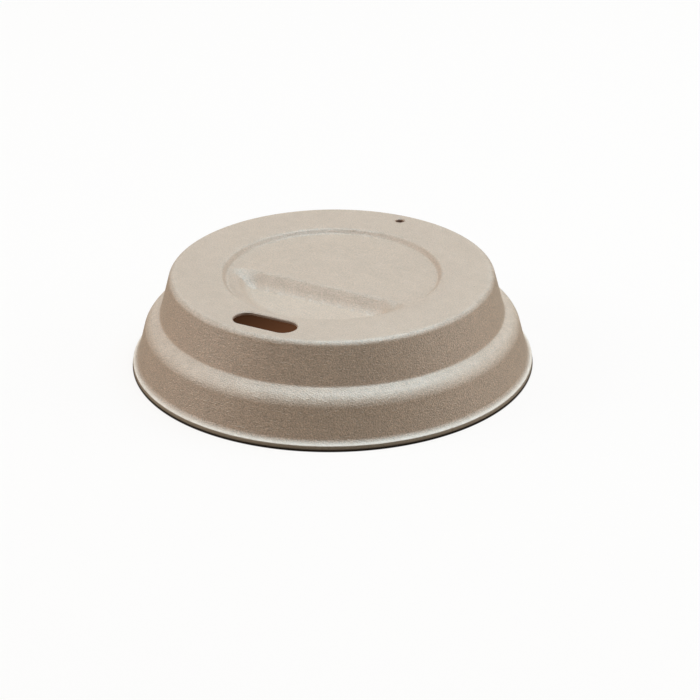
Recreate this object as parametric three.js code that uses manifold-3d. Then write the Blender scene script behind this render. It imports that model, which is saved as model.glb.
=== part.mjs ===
// A lid for a hot drinks cup, pressed from bagasse pulp in one piece.
// Millimetres, +Z up. The rim stands on z = 0, and the sip slot lies towards -Y.

import * as THREE from "three";
import { mergeVertices } from "three/addons/utils/BufferGeometryUtils.js";
import Module from "manifold-3d";

// The pulp, and the rim that is trimmed to size
const wall = 0.8;
const rimDiameter = 87;
const cutEdgeHeight = 1.05;
const cutEdgeLean = 0.15;
const rimLand = 0.7;

// The flared lip above the cut edge
const flareReach = 1.05;
const flareRise = 0.85;
const flareRound = 0.9;

// The skirt that grips the cup, and the shoulder over the cup's rolled rim
const skirtLean = 2.0;
const skirtRise = 7.9;
const shoulderRound = 4.0;
const shelfReach = 3.05;
const shelfRise = 1.7;
const shelfFootRound = 0.65;

// The seat for the cup's rim: how far it lies under the foot of the upper wall
const seatDrop = 1.6;
const seatRound = 0.5;

// The raised top
const upperWallLean = 2.35;
const upperWallRise = 9.1;
const topEdgeRound = 1.3;

// The sip slot, set in from the edge of the top
const slotInset = 6.3;
const slotLength = 14.6;
const slotWidth = 6.0;

// The vent hole, on the other side of the top
const ventInset = 3.45;
const ventDiameter = 2.0;

// The shallow round dish in the top, inside the slot
const slotToDish = 1.3;
const dishDepth = 0.9;
const dishSlope = THREE.MathUtils.degToRad(32);
const dishLipRound = 3.5;
const dishFootRound = 1.2;

// The deeper pocket for the lip and nose: a half-moon of the dish, next to the slot
const pocketInset = 2.2;
const pocketDrop = 2.4;
const pocketSlope = THREE.MathUtils.degToRad(34);
const pocketLipRound = 1.5;
const pocketFootRound = 2.0;

// The ramp that closes the pocket towards the middle of the lid
const rampOffset = 4.4;
const rampSlope = THREE.MathUtils.degToRad(40);
const rampLipRound = 1.2;
const rampFootRound = 1.5;

// How finely round forms are divided
const turnSegments = 60;
const arcStep = THREE.MathUtils.degToRad(18);
const holeSegments = 7;

// How far cutters run past the faces they cut
const overrun = 1;
const lipOverrun = 0.02;

// Places that follow from the sizes, from the table up and from the rim inwards
const cutEdgeRadius = rimDiameter / 2 - cutEdgeLean;
const skirtFoot = { r: cutEdgeRadius - flareReach, z: cutEdgeHeight + flareRise };
const shoulder = { r: skirtFoot.r - skirtLean, z: skirtFoot.z + skirtRise };
const shelfFoot = { r: shoulder.r - shelfReach, z: shoulder.z + shelfRise };
const topEdge = { r: shelfFoot.r - upperWallLean, z: shelfFoot.z + upperWallRise };
const lidHeight = topEdge.z;
const slotPlace = topEdge.r - slotInset;
const ventPlace = topEdge.r - ventInset;
const dishFloor = lidHeight - dishDepth;
const dishRadius = slotPlace - slotWidth / 2 - slotToDish;
const dishFootRadius = dishRadius - dishDepth / Math.tan(dishSlope);
const pocketFloor = dishFloor - pocketDrop;
const pocketRadius = dishFootRadius - pocketInset;
const pocketFootRadius = pocketRadius - pocketDrop / Math.tan(pocketSlope);
const rampFootOffset = rampOffset + pocketDrop / Math.tan(rampSlope);
const seatHeight = shelfFoot.z - seatDrop;

const wasm = await Module();
wasm.setup();

// A corner of a section: distance from the axis, height, and the radius that rounds it.
function corner(r, z, round = 0) {
  return { at: new THREE.Vector2(r, z), round };
}

function crossProduct(a, b) {
  return a.x * b.y - a.y * b.x;
}

function directionFrom(a, b) {
  return b.at.clone().sub(a.at).normalize();
}

// Moves an open run of corners to its left, which keeps the wall even and its rounds concentric.
function offsetToLeft(corners, distance) {
  return corners.map(({ at, round }, i) => {
    const arriving = directionFrom(corners[Math.max(i - 1, 0)], corners[Math.max(i, 1)]);
    const last = corners.length - 1;
    const leaving = directionFrom(corners[Math.min(i, last - 1)], corners[Math.min(i + 1, last)]);
    const turn = crossProduct(arriving, leaving);
    const left = new THREE.Vector2(-arriving.y - leaving.y, arriving.x + leaving.x).normalize();
    const stretch = distance / crossProduct(arriving, left);
    const moved = at.clone().addScaledVector(left, stretch);
    return { at: moved, round: round > 0 ? Math.max(round - Math.sign(turn) * distance, 0) : 0 };
  });
}

// Where the straight line through two corners reaches a height.
function reachHeight(a, b, z) {
  const share = (z - a.at.y) / (b.at.y - a.at.y);
  return a.at.x + share * (b.at.x - a.at.x);
}

// Rounds a run of corners with arcs. Where two rounds would overlap, both shrink to fit.
function roundOff(corners) {
  const reaches = corners.map(({ round }, i) => {
    if (round === 0) return 0;
    const arriving = directionFrom(corners[i - 1], corners[i]);
    const leaving = directionFrom(corners[i], corners[i + 1]);
    return round * Math.tan(Math.acos(arriving.dot(leaving)) / 2);
  });
  const fits = corners.slice(1).map((next, i) => {
    const length = next.at.distanceTo(corners[i].at);
    return Math.min(1, length / (reaches[i] + reaches[i + 1] || 1));
  });
  return corners.flatMap(({ at, round }, i) => {
    if (round === 0) return [at.clone()];
    const arriving = directionFrom(corners[i - 1], corners[i]);
    const leaving = directionFrom(corners[i], corners[i + 1]);
    const turn = Math.atan2(crossProduct(arriving, leaving), arriving.dot(leaving));
    const reach = reaches[i] * Math.min(fits[i - 1], fits[i]);
    const radius = reach / Math.tan(Math.abs(turn) / 2);
    const start = at.clone().addScaledVector(arriving, -reach);
    const side = new THREE.Vector2(-arriving.y, arriving.x).multiplyScalar(Math.sign(turn));
    const centre = start.clone().addScaledVector(side, radius);
    const steps = Math.max(2, Math.ceil(Math.abs(turn) / arcStep));
    return Array.from({ length: steps + 1 }, (_, k) => start.clone().rotateAround(centre, (turn * k) / steps));
  });
}

// Turns a closed geometry into a solid that can be joined and cut.
function solidFrom(geometry) {
  geometry.deleteAttribute("normal");
  geometry.deleteAttribute("uv");
  const merged = mergeVertices(geometry, 1e-5);
  const index = Array.from(merged.index.array);
  const triangles = [];
  for (let i = 0; i < index.length; i += 3) {
    const [a, b, c] = index.slice(i, i + 3);
    if (a !== b && b !== c && c !== a) triangles.push(a, b, c);
  }
  const mesh = new wasm.Mesh({
    numProp: 3,
    vertProperties: new Float32Array(merged.attributes.position.array),
    triVerts: new Uint32Array(triangles),
  });
  return new wasm.Manifold(mesh);
}

// A solid of revolution about the lid's axis, from a section that starts and ends on the axis.
function revolve(points) {
  const geometry = new THREE.LatheGeometry(points, turnSegments);
  geometry.rotateX(Math.PI / 2);
  return solidFrom(geometry);
}

// A column with the given plan, between two heights.
function column(plan, bottom, top) {
  const depth = top - bottom;
  const geometry = new THREE.ExtrudeGeometry(plan, { depth, bevelEnabled: false, curveSegments: holeSegments });
  geometry.translate(0, 0, bottom);
  return solidFrom(geometry);
}

// The outside of the lid in section, from the rim up to the middle of the dish.
function outsideSection() {
  return [
    corner(rimDiameter / 2, 0),
    corner(cutEdgeRadius, cutEdgeHeight),
    corner(skirtFoot.r, skirtFoot.z, flareRound),
    corner(shoulder.r, shoulder.z, shoulderRound),
    corner(shelfFoot.r, shelfFoot.z, shelfFootRound),
    corner(topEdge.r, topEdge.z, topEdgeRound),
    corner(dishRadius, lidHeight, dishLipRound),
    corner(dishFootRadius, dishFloor, dishFootRound),
    corner(0, dishFloor),
  ];
}

// The inside in section: one wall under the outside, but flat where the cup's rim bears on it.
function insideSection() {
  const [, , skirt, grip, shelf, ...top] = offsetToLeft(outsideSection(), wall);
  const rim = corner(rimDiameter / 2 - rimLand, 0);
  const seatOutside = corner(reachHeight(grip, shelf, seatHeight), seatHeight);
  const seatInside = corner(reachHeight(shelf, top[0], seatHeight), seatHeight, seatRound);
  return [rim, skirt, grip, seatOutside, seatInside, ...top];
}

// A cutter's section or plan, from the middle outwards: a floor, a slope and a rounded lip.
function hollowSection(start, foot, lip, { footRound, lipRound, growth }) {
  const lipLevel = dishFloor + lipOverrun;
  const run = [
    corner(start, pocketFloor),
    corner(foot, pocketFloor, footRound),
    corner(lip, lipLevel, lipRound),
    corner(lip + lipRound, lipLevel),
  ];
  return roundOff(offsetToLeft(run, -growth)).slice(0, -1);
}

// The pocket's cutter. Grown by the wall, it shapes the underside.
function pocketCutter(growth) {
  const top = lidHeight + overrun;
  const bowlRounds = { footRound: pocketFootRound, lipRound: pocketLipRound, growth };
  const bowl = hollowSection(0, pocketFootRadius, pocketRadius, bowlRounds);
  const bowlLip = bowl[bowl.length - 1];
  const bowlSolid = revolve([...bowl, new THREE.Vector2(bowlLip.x, top), new THREE.Vector2(0, top)]);

  const rampRounds = { footRound: rampFootRound, lipRound: rampLipRound, growth };
  const ramp = hollowSection(-dishRadius, -rampFootOffset, -rampOffset, rampRounds);
  const rampLip = ramp[ramp.length - 1];
  const plan = new THREE.Shape([...ramp, new THREE.Vector2(rampLip.x, top), new THREE.Vector2(-dishRadius, top)]);
  const geometry = new THREE.ExtrudeGeometry(plan, { depth: 2 * dishRadius, bevelEnabled: false });
  geometry.translate(0, 0, -dishRadius);
  geometry.rotateX(Math.PI / 2);
  geometry.rotateZ(Math.PI / 2);
  return bowlSolid.intersect(solidFrom(geometry));
}

// The stadium that is punched for sipping.
function slotCutter() {
  const endRadius = slotWidth / 2;
  const endPlace = slotLength / 2 - endRadius;
  const plan = new THREE.Shape();
  plan.absarc(endPlace, -slotPlace, endRadius, -Math.PI / 2, Math.PI / 2);
  plan.absarc(-endPlace, -slotPlace, endRadius, Math.PI / 2, (3 * Math.PI) / 2);
  return column(plan, lidHeight - wall - overrun, lidHeight + overrun);
}

function ventCutter() {
  const plan = new THREE.Shape();
  plan.absarc(0, ventPlace, ventDiameter / 2, 0, 2 * Math.PI);
  return column(plan, lidHeight - wall - overrun, lidHeight + overrun);
}

// The lid: its outer form, less its inner form, less the two holes
function lidSolid() {
  const outside = roundOff(outsideSection());
  const outerForm = revolve([new THREE.Vector2(0, 0), ...outside]);
  const inside = roundOff(insideSection());
  const below = new THREE.Vector2(inside[0].x, -overrun);
  const innerForm = revolve([new THREE.Vector2(0, -overrun), below, ...inside]);
  const shell = outerForm.subtract(pocketCutter(0)).subtract(innerForm.subtract(pocketCutter(wall)));
  return shell.subtract(slotCutter()).subtract(ventCutter());
}

function meshFrom(solid, name, material) {
  const { vertProperties, triVerts } = solid.getMesh();
  const geometry = new THREE.BufferGeometry();
  geometry.setAttribute("position", new THREE.BufferAttribute(vertProperties, 3));
  geometry.setIndex(new THREE.BufferAttribute(triVerts, 1));
  geometry.computeVertexNormals();
  const mesh = new THREE.Mesh(geometry, material);
  mesh.name = name;
  return mesh;
}

const pressedPulp = new THREE.MeshStandardMaterial({ color: 0xc5bdaf, roughness: 0.85, metalness: 0 });

const lid = new THREE.Group();
lid.add(meshFrom(lidSolid(), "moulded_lid", pressedPulp));

export default lid;
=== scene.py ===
from math import atan2, cos, pi, radians, sin, tan

import bmesh
import bpy
from mathutils import Matrix, Vector


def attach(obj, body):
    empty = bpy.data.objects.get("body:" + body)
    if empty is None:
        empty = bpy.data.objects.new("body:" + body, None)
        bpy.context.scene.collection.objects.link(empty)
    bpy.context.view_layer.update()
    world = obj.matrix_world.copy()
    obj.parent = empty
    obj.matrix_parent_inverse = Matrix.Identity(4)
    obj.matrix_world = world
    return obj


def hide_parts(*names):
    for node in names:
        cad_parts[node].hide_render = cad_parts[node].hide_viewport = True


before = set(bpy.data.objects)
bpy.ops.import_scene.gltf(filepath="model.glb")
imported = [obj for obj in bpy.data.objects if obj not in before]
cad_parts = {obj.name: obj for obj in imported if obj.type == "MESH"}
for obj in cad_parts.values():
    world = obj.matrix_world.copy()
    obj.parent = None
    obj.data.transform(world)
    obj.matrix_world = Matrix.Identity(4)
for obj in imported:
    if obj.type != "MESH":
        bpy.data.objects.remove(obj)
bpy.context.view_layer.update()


# Camera
# A long lens looks down at the lid from its front right, so that the slot lies to the left.
# The aim, the distance and the small roll were fitted to the outline of the lid in the picture.
scene = bpy.context.scene
mm = 0.001
view_azimuth = radians(29.17)
view_elevation = radians(26.055)
view_roll = radians(-0.4155)
camera_distance = 620.9 * mm
focal_pixels = 2847.7
picture_pixels = 700
sensor_width = 36.0
nearest_seen = 10 * mm
aim_right = 3.78 * mm
aim_height = 1.873 * mm

towards_camera = Vector((
    sin(view_azimuth) * cos(view_elevation),
    -cos(view_azimuth) * cos(view_elevation),
    sin(view_elevation),
))
viewer_right = Vector((cos(view_azimuth), sin(view_azimuth), 0))
camera_place = towards_camera * camera_distance
aim = viewer_right * aim_right + Vector((0, 0, aim_height))
look = (aim - camera_place).normalized()
level_right = look.cross(Vector((0, 0, 1))).normalized()
level_up = level_right.cross(look)
camera_right = level_right * cos(view_roll) + level_up * sin(view_roll)
camera_up = level_up * cos(view_roll) - level_right * sin(view_roll)

camera_data = bpy.data.cameras.new("camera")
camera_data.lens = focal_pixels / picture_pixels * sensor_width
camera_data.sensor_width = sensor_width
camera_data.sensor_fit = "HORIZONTAL"
camera_data.clip_start = nearest_seen
camera = bpy.data.objects.new("camera", camera_data)
scene.collection.objects.link(camera)
camera.matrix_world = Matrix((
    (camera_right.x, camera_up.x, -look.x, camera_place.x),
    (camera_right.y, camera_up.y, -look.y, camera_place.y),
    (camera_right.z, camera_up.z, -look.z, camera_place.z),
    (0, 0, 0, 1),
))
scene.camera = camera
scene.view_settings.view_transform = "Standard"


# The lid's pressed form
# One sheet of bagasse pulp, hot pressed between two moulds, with its rim trimmed afterwards.
# Its section is drawn corner by corner, outside and underside, and spun about the lid's axis.
# A corner is given by its distance from the axis and its height.
wall = 0.8 * mm
lid_height = 20.6 * mm
rim_radius = 43.5 * mm
rim_land = 0.7 * mm
cut_edge = (43.35 * mm, 1.05 * mm)
skirt_foot = (42.3 * mm, 1.9 * mm)
shoulder = (40.3 * mm, 9.8 * mm)
shelf_foot = (37.25 * mm, 11.5 * mm)
top_edge = (34.9 * mm, lid_height)
seat_height = 9.9 * mm
flare_round = 0.9 * mm
shoulder_round = 4.0 * mm
shelf_foot_round = 0.65 * mm
top_edge_round = 1.3 * mm
seat_round = 0.5 * mm
dish_radius = 25.6 * mm
dish_wall_inside = 22.2 * mm
fine_ring_step = 0.15 * mm
ring_step = 0.55 * mm
spokes = 192
merge_distance = 0.01 * mm


def deselect_all():
    if bpy.context.object and bpy.context.object.mode != "OBJECT":
        bpy.ops.object.mode_set(mode="OBJECT")
    bpy.ops.object.select_all(action="DESELECT")


def edit(thing):
    deselect_all()
    bpy.context.view_layer.objects.active = thing
    thing.select_set(True)
    bpy.ops.object.mode_set(mode="EDIT")
    bpy.ops.mesh.select_mode(type="VERT")
    bpy.ops.mesh.select_all(action="DESELECT")


def select_points(thing, test):
    bpy.ops.mesh.select_all(action="DESELECT")
    mesh = bmesh.from_edit_mesh(thing.data)
    for point in mesh.verts:
        point.select_set(test(point))
    mesh.select_flush_mode()
    bmesh.update_edit_mesh(thing.data)


def near(co, corner):
    return abs(co.x - corner[0]) + abs(co.z - corner[1]) < merge_distance


def heading(a, b):
    return atan2(b[1] - a[1], b[0] - a[0])


def turn_at(before, here, after):
    turn = heading(here, after) - heading(before, here)
    return (turn + pi) % (2 * pi) - pi


def moved_in(before, here, after, distance):
    """The corner of the underside that lies one wall under a corner of the outside."""
    bisector = heading(before, here) + turn_at(before, here, after) / 2 + pi / 2
    reach = distance / cos(turn_at(before, here, after) / 2)
    return (here[0] + reach * cos(bisector), here[1] + reach * sin(bisector))


def at_height(a, b, height):
    share = (height - a[1]) / (b[1] - a[1])
    return (a[0] + share * (b[0] - a[0]), height)


rim_outside = (rim_radius, 0.0)
rim_inside = (rim_radius - rim_land, 0.0)
poles = [(0.0, lid_height), (0.0, lid_height - wall)]
outside = [rim_outside, cut_edge, skirt_foot, shoulder, shelf_foot, top_edge, poles[0]]
under = [moved_in(*three, wall) for three in zip(outside, outside[1:], outside[2:])]
under_skirt, under_shoulder, under_shelf, under_top = under[1:]

# The cup's rolled rim meets a flat seat, which takes the place of the corner under the shelf.
seat_outside = at_height(under_shoulder, under_shelf, seat_height)
seat_inside = at_height(under_shelf, under_top, seat_height)
underside = [under_top, seat_inside, seat_outside, under_shoulder, under_skirt, rim_inside]

# The flat top carries rings for the recess, close together where its wall comes.
fine_rings = round((dish_radius - dish_wall_inside) / fine_ring_step)
rings = round(dish_wall_inside / ring_step)
ring_radii = [dish_radius - fine_ring_step * k for k in range(fine_rings)]
ring_radii += [dish_wall_inside * (1 - k / rings) for k in range(rings)]
outer_rings = [(radius, lid_height) for radius in ring_radii]
inner_rings = [(radius, lid_height - wall) for radius in reversed(ring_radii)]
section = outside[:-1] + outer_rings + poles + inner_rings + underside

# Each corner that is rounded, with its radius and the number of flats that round it.
rounds = [
    (skirt_foot, flare_round, 5),
    (shoulder, shoulder_round, 14),
    (shelf_foot, shelf_foot_round, 6),
    (top_edge, top_edge_round, 9),
    (under_skirt, flare_round + wall, 5),
    (under_shoulder, shoulder_round - wall, 10),
    (seat_inside, seat_round, 4),
    (under_top, top_edge_round - wall, 5),
]

bpy.ops.object.select_all(action="DESELECT")
bpy.ops.mesh.primitive_plane_add(size=mm, location=(rim_radius, 0, 0))
lid = bpy.context.object
lid.name = "pressed_lid"
bpy.ops.object.transform_apply(location=True, rotation=True, scale=True)
edit(lid)
bpy.ops.mesh.select_all(action="SELECT")
bpy.ops.mesh.merge(type="CENTER")
for here, after in zip(section, section[1:]):
    step = (after[0] - here[0], 0, after[1] - here[1])
    bpy.ops.mesh.extrude_region_move(TRANSFORM_OT_translate={"value": step})
for here, radius, flats in rounds:
    corner = section.index(here)
    turn = abs(turn_at(section[corner - 1], here, section[corner + 1]))
    select_points(lid, lambda point: near(point.co, here))
    bpy.ops.mesh.bevel(
        offset_type="OFFSET",
        offset=radius * tan(turn / 2),
        segments=flats,
        affect="VERTICES",
    )

# The two poles of the top are one point each, so the line between them goes before the spin.
mesh = bmesh.from_edit_mesh(lid.data)
for edge in mesh.edges:
    edge.select_set(all(abs(point.co.x) < merge_distance for point in edge.verts))
bmesh.update_edit_mesh(lid.data)
bpy.ops.mesh.select_mode(type="EDGE")
bpy.ops.mesh.delete(type="EDGE_FACE")
bpy.ops.mesh.select_mode(type="VERT")
select_points(lid, lambda point: near(point.co, rim_outside) or near(point.co, rim_inside))
bpy.ops.mesh.edge_face_add()
bpy.ops.mesh.select_all(action="SELECT")
bpy.ops.mesh.spin(steps=spokes, angle=2 * pi, center=(0, 0, 0), axis=(0, 0, 1))
bpy.ops.mesh.select_all(action="SELECT")
bpy.ops.mesh.remove_doubles(threshold=merge_distance)
bpy.ops.mesh.normals_make_consistent(inside=False)


# The dish, and the half-moon pocket for the lip and nose
# The moulds push both down into the flat top, each in two steps with a soft slope round it.
# The sheet keeps its thickness, so the underside goes down with the top.
# A push is given by the radius that goes down, the slope's width, the depth and the slope.
dish_pushes = [
    (20.4 * mm, 5.0 * mm, 0.45 * mm, "SMOOTH"),
    (22.7 * mm, 1.2 * mm, 0.8 * mm, "SMOOTH"),
]
pocket_pushes = [
    (19.2 * mm, 3.0 * mm, 1.4 * mm, "LINEAR"),
    (17.0 * mm, 3.8 * mm, 1.4 * mm, "SMOOTH"),
]
pocket_edge = pocket_pushes[0][0] + pocket_pushes[0][1]
pocket_floor = pocket_pushes[-1][0]
ramp_foot = 7.7 * mm
ramp_run = 3.8 * mm
ramp_lines = 6
floor_rise = radians(5)
underside_spread = 0.3 * mm
sheet_depth = 4 * wall


def push_down(thing, test, depth, width, slope):
    """Presses the points that pass the test down, and drags the sheet round them along."""
    select_points(thing, test)
    bpy.ops.transform.translate(
        value=(0, 0, -depth),
        use_proportional_edit=True,
        proportional_edit_falloff=slope,
        proportional_size=width,
    )


def spread_at(point):
    """A bend lies a little further out in the underside than in the top."""
    return 0 if point.normal.z > 0 else underside_spread


def inside_radius(radius):
    def test(point):
        from_axis = (point.co.x ** 2 + point.co.y ** 2) ** 0.5
        in_sheet = point.co.z > lid_height - sheet_depth
        return from_axis < radius + spread_at(point) and in_sheet
    return test


def inside_half_moon(radius):
    in_round = inside_radius(radius + merge_distance)

    def test(point):
        beyond_ramp = point.co.y < -ramp_foot + spread_at(point) + merge_distance
        return in_round(point) and beyond_ramp
    return test


# The ramp needs straight lines across the rings, one set for the top and one for the underside.
for k in range(ramp_lines + 1):
    line = ramp_foot - ramp_run * k / ramp_lines
    for spread in (0, underside_spread):
        select_points(lid, inside_radius(pocket_edge))
        bpy.ops.mesh.bisect(plane_co=(0, -line + spread, 0), plane_no=(0, 1, 0))
for radius, width, depth, slope in dish_pushes:
    push_down(lid, inside_radius(radius), depth, width, slope)
for radius, width, depth, slope in pocket_pushes:
    push_down(lid, inside_half_moon(radius), depth, width, slope)

# The half-moon's floor rises a little from the foot of the ramp towards the slot.
select_points(lid, inside_half_moon(pocket_floor))
bpy.ops.transform.rotate(
    value=-floor_rise,
    orient_axis="X",
    orient_type="GLOBAL",
    center_override=(0, -ramp_foot, lid_height),
    use_proportional_edit=True,
    proportional_edit_falloff="SMOOTH",
    proportional_size=ramp_run,
)
bpy.ops.object.mode_set(mode="OBJECT")


# The sip slot and the vent hole
# Both are punched through the finished lid, and the punch leaves their edges slightly rounded.
slot_place = 28.6 * mm
slot_length = 14.6 * mm
slot_width = 6.0 * mm
slot_half_stretch = (slot_length - slot_width) / 2
vent_place = 31.45 * mm
vent_radius = 1.0 * mm
edge_flare = 0.18 * mm
flare_steps = 3
punch_sides = 64
smooth_angle = radians(35)


def punch(name, place, half_width, half_stretch):
    """A stadium or round punch, which opens out a little at the top and at the underside."""
    half_length = half_stretch + half_width
    bends = [pi / 2 * k / flare_steps for k in range(flare_steps + 1)]
    levels = [(lid_height + wall, edge_flare)]
    for bend in bends:
        levels.append((lid_height - edge_flare * sin(bend), edge_flare * (1 - sin(bend))))
    for bend in reversed(bends):
        levels.append((lid_height - wall + edge_flare * sin(bend), edge_flare * (1 - sin(bend))))
    levels.append((lid_height - 2 * wall, edge_flare))

    bpy.ops.object.select_all(action="DESELECT")
    bpy.ops.mesh.primitive_circle_add(vertices=punch_sides, radius=half_width, fill_type="NGON")
    tool = bpy.context.object
    tool.name = name
    edit(tool)
    select_points(tool, lambda point: point.co.x > merge_distance)
    bpy.ops.transform.translate(value=(half_stretch, 0, 0))
    select_points(tool, lambda point: point.co.x < -merge_distance)
    bpy.ops.transform.translate(value=(-half_stretch, 0, 0))
    bpy.ops.mesh.select_all(action="SELECT")
    bpy.ops.transform.translate(value=(0, place, levels[0][0]))
    along = (half_length + edge_flare) / half_length
    across = (half_width + edge_flare) / half_width
    bpy.ops.transform.resize(value=(along, across, 1), center_override=(0, place, 0))
    for before, after in zip(levels, levels[1:]):
        step = (0, 0, after[0] - before[0])
        bpy.ops.mesh.extrude_region_move(TRANSFORM_OT_translate={"value": step})
        along = (half_length + after[1]) / (half_length + before[1])
        across = (half_width + after[1]) / (half_width + before[1])
        bpy.ops.transform.resize(value=(along, across, 1), center_override=(0, place, 0))
    bpy.ops.mesh.select_all(action="SELECT")
    bpy.ops.mesh.normals_make_consistent(inside=False)
    bpy.ops.object.mode_set(mode="OBJECT")
    return tool


def punch_out(thing, tool):
    deselect_all()
    bpy.context.view_layer.objects.active = thing
    thing.select_set(True)
    cut = thing.modifiers.new("punched", "BOOLEAN")
    cut.operation = "DIFFERENCE"
    cut.solver = "EXACT"
    cut.object = tool
    bpy.ops.object.modifier_apply(modifier=cut.name)
    bpy.data.objects.remove(tool)


punch_out(lid, punch("slot_punch", -slot_place, slot_width / 2, slot_half_stretch))
punch_out(lid, punch("vent_punch", vent_place, vent_radius, 0))
deselect_all()
bpy.context.view_layer.objects.active = lid
lid.select_set(True)
bpy.ops.object.shade_smooth_by_angle(angle=smooth_angle)

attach(lid, "root")
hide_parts("moulded_lid")


# The pulp's finish
# Unbleached bagasse is a grey beige with a fine fibre grain, faint mottling and a few dark specks.
# The moulds leave it smooth with a slight sheen, and the trimmed edge is rougher and darker.
# The pocket's floor is painted lighter, and the shoulder, the lip above the edge and the top's
# corner are painted paler in patches: painted highlights where these catch the overhead lamp.
# The foot of the trimmed edge is painted near black: painted shade where it meets the floor.
pulp_dark = (0.5, 0.334, 0.236, 1)
pulp_light = (0.55, 0.37, 0.264, 1)
pocket_floor_light_colour = (0.66, 0.48, 0.365, 1)
fibre_and_highlight_colour = (0.72, 0.55, 0.43, 1)
speck_colour = (0.1, 0.065, 0.04, 1)
shoulder_highlight_colour = (0.95, 0.72, 0.56, 1)
lip_highlight_colour = (0.97, 0.78, 0.64, 1)
trimmed_colour = (0.3, 0.215, 0.15, 1)
foot_shade_colour = (0.012, 0.007, 0.004, 1)
sheen_tint = (1, 0.98, 0.92, 1)
pulp_ior = 1.6
relief = 0.16 * mm

# Features per metre, and how long and turned the two lays of fibres are.
blotches, mottles, grains = 120, 420, 3400
highlight_patch_count, ripples, speck_spots = 600, 900, 260
fibre_lays = ((2600, 0.6), (2400, -1.1))
fibre_stretch = (0.16, 1, 1)
fibre_tilt = (0.35, 0.2, 1)

# Where each zone of the lid begins to show, and where it shows in full.
pocket_floor_levels = (lid_height - 2.8 * mm, lid_height - 3.4 * mm)
pocket_floor_radii = (22.5 * mm, 21.5 * mm)
trimmed_radii = (rim_radius - 0.22 * mm, rim_radius - 0.12 * mm)
foot_shade_levels = (0.2 * mm, 0.55 * mm)
top_corner_radii = (33.3 * mm, 34.3 * mm)
top_corner_levels = (19.3 * mm, 20.1 * mm)
lip_radii = (42.5 * mm, 43.1 * mm)
lip_levels = (2.2 * mm, 1.4 * mm)
shoulder_from = (8.6 * mm, 10.0 * mm)
shoulder_to = (12.2 * mm, 11.2 * mm)
side_radii = (33.6 * mm, 35.2 * mm)

pulp = bpy.data.materials.new("pressed_bagasse")
pulp.use_nodes = True
nodes = pulp.node_tree.nodes
links = pulp.node_tree.links
shader = nodes["Principled BSDF"]
object_place = nodes.new("ShaderNodeTexCoord").outputs["Object"]


def fill(socket, value):
    if isinstance(value, bpy.types.NodeSocket):
        links.new(value, socket)
    else:
        socket.default_value = value


def noise(scale, detail, stretch=(1, 1, 1), turn=0.0):
    laid = nodes.new("ShaderNodeMapping")
    laid.inputs["Scale"].default_value = stretch
    laid.inputs["Rotation"].default_value = [share * turn for share in fibre_tilt]
    links.new(object_place, laid.inputs["Vector"])
    node = nodes.new("ShaderNodeTexNoise")
    node.inputs["Scale"].default_value = scale
    node.inputs["Detail"].default_value = detail
    links.new(laid.outputs["Vector"], node.inputs["Vector"])
    return node.outputs["Fac"]


def between(value, low, high, low_result=0.0, high_result=1.0):
    node = nodes.new("ShaderNodeMapRange")
    node.inputs["From Min"].default_value = low
    node.inputs["From Max"].default_value = high
    node.inputs["To Min"].default_value = low_result
    node.inputs["To Max"].default_value = high_result
    links.new(value, node.inputs["Value"])
    return node.outputs["Result"]


def combine(operation, a, b):
    node = nodes.new("ShaderNodeMath")
    node.operation = operation
    fill(node.inputs[0], a)
    fill(node.inputs[1], b)
    return node.outputs["Value"]


def total(a, b):
    return combine("ADD", a, b)


def product(a, b):
    return combine("MULTIPLY", a, b)


def blend(kind, amount, a, b):
    node = nodes.new("ShaderNodeMix")
    node.data_type = "RGBA"
    node.blend_type = kind
    fill(node.inputs[0], amount)
    fill(node.inputs[6], a)
    fill(node.inputs[7], b)
    return node.outputs[2]


def laid_over(colour, amount, coat):
    return blend("MIX", amount, colour, coat)


mottling = between(total(noise(blotches, 3), noise(mottles, 4)), 0.7, 1.3)
grain = noise(grains, 3)
fibres_one, fibres_two = [
    between(noise(scale, 2, fibre_stretch, turn), 0.6, 0.78) for scale, turn in fibre_lays
]
fibres = combine("MAXIMUM", fibres_one, fibres_two)
speck_cells = nodes.new("ShaderNodeTexVoronoi")
speck_cells.inputs["Scale"].default_value = speck_spots
links.new(object_place, speck_cells.inputs["Vector"])
cell_colour = nodes.new("ShaderNodeSeparateColor")
links.new(speck_cells.outputs["Color"], cell_colour.inputs["Color"])
speck_kept = between(cell_colour.outputs["Red"], 0.9, 0.92)
specks = product(between(speck_cells.outputs["Distance"], 0.05, 0.02), speck_kept)

split_place = nodes.new("ShaderNodeSeparateXYZ")
links.new(object_place, split_place.inputs["Vector"])
across, along, level = split_place.outputs
radius = combine("SQRT", total(product(across, across), product(along, along)), 0.0)
low_floor = between(level, *pocket_floor_levels)
# Painted highlight: the pocket's low floor is painted lighter where it catches the light.
painted_light_pocket_floor = product(low_floor, between(radius, *pocket_floor_radii))
trimmed = between(radius, *trimmed_radii)
# Painted shade at the foot of the trimmed edge, where it meets the floor.
painted_foot_shade = product(trimmed, between(level, *foot_shade_levels, 0.95, 0.0))
# A noise that breaks the painted highlights below into patches.
highlight_patches = between(noise(highlight_patch_count, 3), 0.42, 0.62)
# Painted highlight on the top's corner, in patches.
top_corner = product(between(radius, *top_corner_radii), between(level, *top_corner_levels))
top_corner_highlight = product(top_corner, product(highlight_patches, 0.3))
# Painted highlight on the flared lip above the edge.
flare_lip = product(between(radius, *lip_radii), between(level, *lip_levels))
painted_lip_highlight = product(flare_lip, between(highlight_patches, 0, 1, 0.8, 0.98))
# Painted highlight on the shoulder's bead.
shoulder_band = product(between(level, *shoulder_from), between(level, *shoulder_to))
painted_shoulder_highlight = product(product(shoulder_band, between(highlight_patches, 0, 1, 0.6, 1.0)), 0.34)

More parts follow.
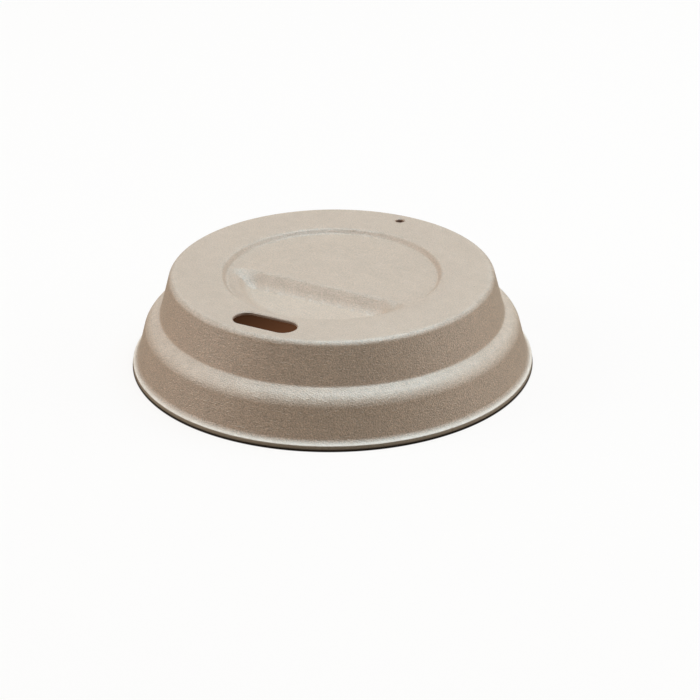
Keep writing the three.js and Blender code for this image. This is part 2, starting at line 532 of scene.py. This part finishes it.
colour = blend("MIX", mottling, pulp_dark, pulp_light)
# Painted highlight on the pocket's floor.
colour = laid_over(colour, product(painted_light_pocket_floor, 0.35), pocket_floor_light_colour)
grain_amount = between(radius, *side_radii, 0.6, 1.0)
colour = blend("MULTIPLY", grain_amount, colour, between(grain, 0.3, 0.7, 0.66, 1.34))
colour = laid_over(colour, product(fibres, 0.25), fibre_and_highlight_colour)
colour = laid_over(colour, product(specks, 0.7), speck_colour)
# Painted highlight on the top's corner.
colour = laid_over(colour, product(top_corner_highlight, 0.8), fibre_and_highlight_colour)
# Painted highlight on the shoulder's bead.
colour = laid_over(colour, painted_shoulder_highlight, shoulder_highlight_colour)
# Painted highlight on the flared lip.
colour = laid_over(colour, painted_lip_highlight, lip_highlight_colour)
colour = laid_over(colour, product(trimmed, 0.9), trimmed_colour)
# Painted shade: the foot of the trimmed edge is painted near black.
colour = laid_over(colour, painted_foot_shade, foot_shade_colour)
links.new(colour, shader.inputs["Base Color"])

roughness = total(between(mottling, 0, 1, 0.48, 0.42), between(grain, 0.3, 0.7, -0.04, 0.05))
rougher = total(product(top_corner_highlight, 0.05), product(trimmed, 0.3))
links.new(total(roughness, rougher), shader.inputs["Roughness"])
links.new(between(trimmed, 0, 1, 1.0, 0.05), shader.inputs["Specular IOR Level"])
shader.inputs["Specular Tint"].default_value = sheen_tint
shader.inputs["IOR"].default_value = pulp_ior

surface = total(product(grain, 0.7), product(fibres, 0.3))
surface = total(surface, product(noise(ripples, 2), 0.15))
bump = nodes.new("ShaderNodeBump")
bump.inputs["Strength"].default_value = 1.0
bump.inputs["Distance"].default_value = relief
links.new(surface, bump.inputs["Height"])
links.new(bump.outputs["Normal"], shader.inputs["Normal"])
lid.data.materials.append(pulp)


# Floor
# The lid stands on a plain white floor. The camera sees it white, with a thin contact shadow
# along the rim's near side. Inside the lid the floor is a painted brown glow, which stands in
# for the light that comes through the pulp.
# What bounces up from it onto the lid is warm.
floor_size = 6
contact_line = 0.4 * mm
contact_radii = (rim_radius - 0.15 * mm, rim_radius + 0.05 * mm)
under_lid_radii = (rim_radius - 3 * mm, rim_radius - 40 * mm)
floor_glow = (1, 0.96, 0.93, 1)
floor_glow_strength = 0.845
floor_colour = (0.13, 0.13, 0.13, 1)
contact_colour = (0.01, 0.005, 0.003, 1)
glow_under_lid_colour = (0.16, 0.066, 0.031, 1)
bounce_colour = (0.32, 0.24, 0.165, 1)

deselect_all()
bpy.ops.mesh.primitive_plane_add(size=floor_size, location=(0, 0, 0))
floor = bpy.context.object
floor.name = "floor"
white = bpy.data.materials.new("white_floor")
white.use_nodes = True

# From here the helpers of the pulp's finish build nodes in the floor's material.
nodes = white.node_tree.nodes
links = white.node_tree.links


def emission(colour, strength):
    node = nodes.new("ShaderNodeEmission")
    node.inputs["Color"].default_value = colour
    fill(node.inputs["Strength"], strength)
    return node.outputs["Emission"]


def matt(colour):
    node = nodes.new("ShaderNodeBsdfDiffuse")
    fill(node.inputs["Color"], colour)
    return node.outputs["BSDF"]


def both(a, b):
    node = nodes.new("ShaderNodeAddShader")
    links.new(a, node.inputs[0])
    links.new(b, node.inputs[1])
    return node.outputs["Shader"]


def seen_or_lit(seen, lit):
    """What the camera sees, and what lights the lid instead."""
    rays = nodes.new("ShaderNodeLightPath")
    node = nodes.new("ShaderNodeMixShader")
    links.new(rays.outputs["Is Camera Ray"], node.inputs["Fac"])
    links.new(lit, node.inputs[1])
    links.new(seen, node.inputs[2])
    return node.outputs["Shader"]


towards_viewer = Vector((sin(view_azimuth), -cos(view_azimuth), 0))
shift = nodes.new("ShaderNodeVectorMath")
shift.operation = "SUBTRACT"
shift.inputs[1].default_value = towards_viewer * contact_line
links.new(nodes.new("ShaderNodeTexCoord").outputs["Object"], shift.inputs[0])
reach = nodes.new("ShaderNodeVectorMath")
reach.operation = "LENGTH"
links.new(shift.outputs["Vector"], reach.inputs[0])
outside_rim = between(reach.outputs["Value"], *contact_radii)
under_lid = between(reach.outputs["Value"], *under_lid_radii)

glow = emission(floor_glow, product(outside_rim, floor_glow_strength))
shadowed = matt(blend("MIX", outside_rim, contact_colour, floor_colour))
# Painted glow: the floor inside the lid glows brown, in place of light through the pulp.
painted_glow_under_lid = emission(glow_under_lid_colour, under_lid)
floor_shader = both(seen_or_lit(both(glow, shadowed), matt(bounce_colour)), painted_glow_under_lid)
links.new(floor_shader, nodes["Material Output"].inputs["Surface"])
floor.data.materials.append(white)


# Light
# Soft studio lamps: a large cool one overhead, a weak warm one low in front, and others at
# the sides and the back. The room adds a little, and the camera sees it white.
room_colour = (1.0, 0.97, 0.94, 1)
room_strength = 0.05
lamp_aim = Vector((0, 0, 10 * mm))

# Bearing and height round the lid in degrees, distance and size in metres, power in watts.
lamps = [
    ("overhead", 145, 80, 0.9, 1.1, 10.4, (0.73, 1.0, 1.17)),
    ("left_top", -62, 44, 1.0, 0.7, 1.4, (0.9, 0.98, 1.0)),
    ("white_back", 209, 14, 1.1, 1.4, 3.0, (0.95, 0.98, 1.0)),
    ("front_fill", 29, 10, 1.2, 0.8, 0.6, (1.0, 0.76, 0.56)),
    ("left_wall", -62, 25, 1.0, 0.7, 3.1, (1.0, 0.98, 0.97)),
    ("right_wall", 120, 25, 1.0, 0.7, 2.8, (1.0, 0.98, 0.97)),
]

for name, bearing, height, distance, size, power, colour in lamps:
    a = radians(bearing)
    e = radians(height)
    data = bpy.data.lights.new(name, "AREA")
    data.shape = "DISK"
    data.size = size
    data.energy = power
    data.color = colour
    lamp = bpy.data.objects.new(name, data)
    scene.collection.objects.link(lamp)
    lamp.location = Vector((sin(a) * cos(e), -cos(a) * cos(e), sin(e))) * distance
    lamp.rotation_euler = (lamp_aim - lamp.location).to_track_quat("-Z", "Y").to_euler()

world = bpy.data.worlds.new("studio")
scene.world = world
world.use_nodes = True
nodes = world.node_tree.nodes
links = world.node_tree.links
room = nodes["Background"]
room.inputs["Color"].default_value = room_colour
room.inputs["Strength"].default_value = room_strength
backdrop = nodes.new("ShaderNodeBackground")
backdrop.inputs["Color"].default_value = (1, 1, 1, 1)
backdrop.inputs["Strength"].default_value = 1.0
world_shader = seen_or_lit(backdrop.outputs["Background"], room.outputs["Background"])
links.new(world_shader, nodes["World Output"].inputs["Surface"])
